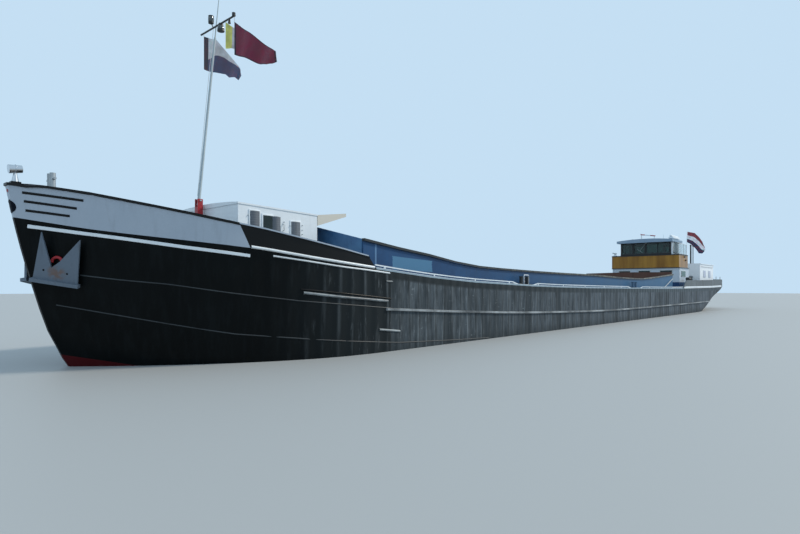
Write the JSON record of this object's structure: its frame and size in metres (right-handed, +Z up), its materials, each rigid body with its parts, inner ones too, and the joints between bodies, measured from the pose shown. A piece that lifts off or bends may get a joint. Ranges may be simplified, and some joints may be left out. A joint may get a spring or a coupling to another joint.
{
  "type": "canal motor cargo barge, 1:2 scale model",
  "caption": "Long low motor barge with a raised bow, a folding signal mast, an open hold between coamings, and a wheelhouse and cabin aft.",
  "frame": {"origin": "middle of the length and beam, at the flat bottom of the hull", "axes": "+X towards the stern, +Y to starboard, +Z up"},
  "size_m": [30, 4.12, 6.3609],
  "materials": {
    "black_paint": "gloss",
    "white_paint": "gloss",
    "blue_paint": "gloss",
    "red_paint": "gloss",
    "grey_paint": "satin",
    "pale_grey_paint": "satin",
    "brown_paint": "satin",
    "roof_blue_paint": "satin",
    "dark_paint": "satin",
    "cast_metal": "matte",
    "varnished_wood": "gloss",
    "floor_wood": "satin",
    "bright_metal": "polished",
    "aluminium": "satin",
    "bronze": "satin",
    "chair_cover": "matte",
    "awning_board": "matte",
    "flag_cloth": "matte"
  },
  "bodies": {
    "barge": {"hull": "black_paint", "bow_bulwark": "white_paint", "stern_bulwark": "grey_paint", "rubbing_strake_port": "black_paint", "rubbing_strake_starboard": "black_paint", "toe_rail_port": "white_paint", "toe_rail_starboard": "white_paint", "coaming_port": "blue_paint", "coaming_starboard": "blue_paint", "coaming_fore_end": "blue_paint", "coaming_aft_end": "brown_paint", "fore_house_walls": "white_paint", "fore_house_roof": "white_paint", "fore_house_awning": "awning_board", "aft_house_walls": "white_paint", "aft_house_roof": "grey_paint", "engine_casing": "brown_paint", "cabin_walls": "white_paint", "cabin_roof": "white_paint", "wheelhouse_dodger": "varnished_wood", "wheelhouse_shelf": "dark_paint", "wheelhouse_walls": "white_paint", "wheelhouse_floor": "floor_wood", "wheelhouse_roof": "roof_blue_paint", "wheelhouse_console": "dark_paint", "helm_chair": "chair_cover", "horns": "bright_metal", "bollard_bow_port": "dark_paint", "bollard_bow_starboard": "dark_paint", "bollard_fore_port": "dark_paint", "bollard_fore_starboard": "dark_paint", "bollard_middle_port": "dark_paint", "bollard_middle_starboard": "dark_paint", "bollard_stern_port": "dark_paint", "bollard_stern_starboard": "dark_paint", "bow_posts": "pale_grey_paint", "searchlight": "bright_metal", "windlass_frame": "blue_paint", "forepeak_coaming": "grey_paint", "anchor_port": "cast_metal", "anchor_starboard": "cast_metal", "mast_foot": "red_paint", "ensign_staff": "white_paint", "ensign": "flag_cloth", "stern_tube": "dark_paint", "engine": "grey_paint"},
    "mast": {"mast_pole": "aluminium", "mast_yard": "dark_paint", "flag_maroon": "flag_cloth", "flag_yellow": "flag_cloth", "flag_white_blue": "flag_cloth"},
    "fore_house_door": {"fore_house_door": "white_paint"},
    "cabin_door": {"cabin_door": "varnished_wood"},
    "wheelhouse_door_port": {"wheelhouse_door_port": "varnished_wood"},
    "wheelhouse_door_starboard": {"wheelhouse_door_starboard": "varnished_wood"},
    "forepeak_lid": {"forepeak_lid": "grey_paint"},
    "windlass_drum": {"windlass_drum": "dark_paint"},
    "propeller": {"propeller": "bronze"},
    "rudder": {"rudder": "dark_paint"},
    "helm_wheel": {"helm_wheel": "varnished_wood"}
  },
  "joints": [
    {"name": "mast_fold", "type": "hinge", "parent": "barge", "child": "mast", "pos_m": [-12.44, 0, 2.78], "axis": [0, 1, 0], "range_deg": [0, 70]},
    {"name": "fore_house_door_slide", "type": "slide", "parent": "barge", "child": "fore_house_door", "axis": [0, 1, 0], "range_m": [0, 0.39]},
    {"name": "cabin_door_hinge", "type": "hinge", "parent": "barge", "child": "cabin_door", "pos_m": [13.666, -0.195, 1.96], "axis": [0, 0, -1], "range_deg": [0, 100]},
    {"name": "wheelhouse_door_port_hinge", "type": "hinge", "parent": "barge", "child": "wheelhouse_door_port", "pos_m": [9.636, -0.835, 2.77], "axis": [0, 0, -1], "range_deg": [0, 100]},
    {"name": "wheelhouse_door_starboard_hinge", "type": "hinge", "parent": "barge", "child": "wheelhouse_door_starboard", "pos_m": [9.636, 0.835, 2.77], "axis": [0, 0, 1], "range_deg": [0, 100]},
    {"name": "forepeak_lid_hinge", "type": "hinge", "parent": "barge", "child": "forepeak_lid", "pos_m": [-13.21, 0, 2.155], "axis": [0, -1, 0], "range_deg": [0, 100]},
    {"name": "windlass_spin", "type": "hinge", "parent": "barge", "child": "windlass_drum", "pos_m": [-13.625, 0, 2.31], "axis": [0, 1, 0], "continuous": true},
    {"name": "propeller_spin", "type": "hinge", "parent": "barge", "child": "propeller", "pos_m": [13.28, 0, 0.31], "axis": [1, 0, 0], "continuous": true},
    {"name": "rudder_turn", "type": "hinge", "parent": "barge", "child": "rudder", "pos_m": [13.95, 0, 0.6], "axis": [0, 0, 1], "range_deg": [-35, 35]},
    {"name": "helm_turn", "type": "hinge", "parent": "barge", "child": "helm_wheel", "pos_m": [8.9, 0, 2.625], "axis": [-1, 0, 0], "range_deg": [-350, 350]}
  ],
  "couplings": [
    {"joint": "helm_turn", "follows": "rudder_turn", "ratio": 10}
  ]
}
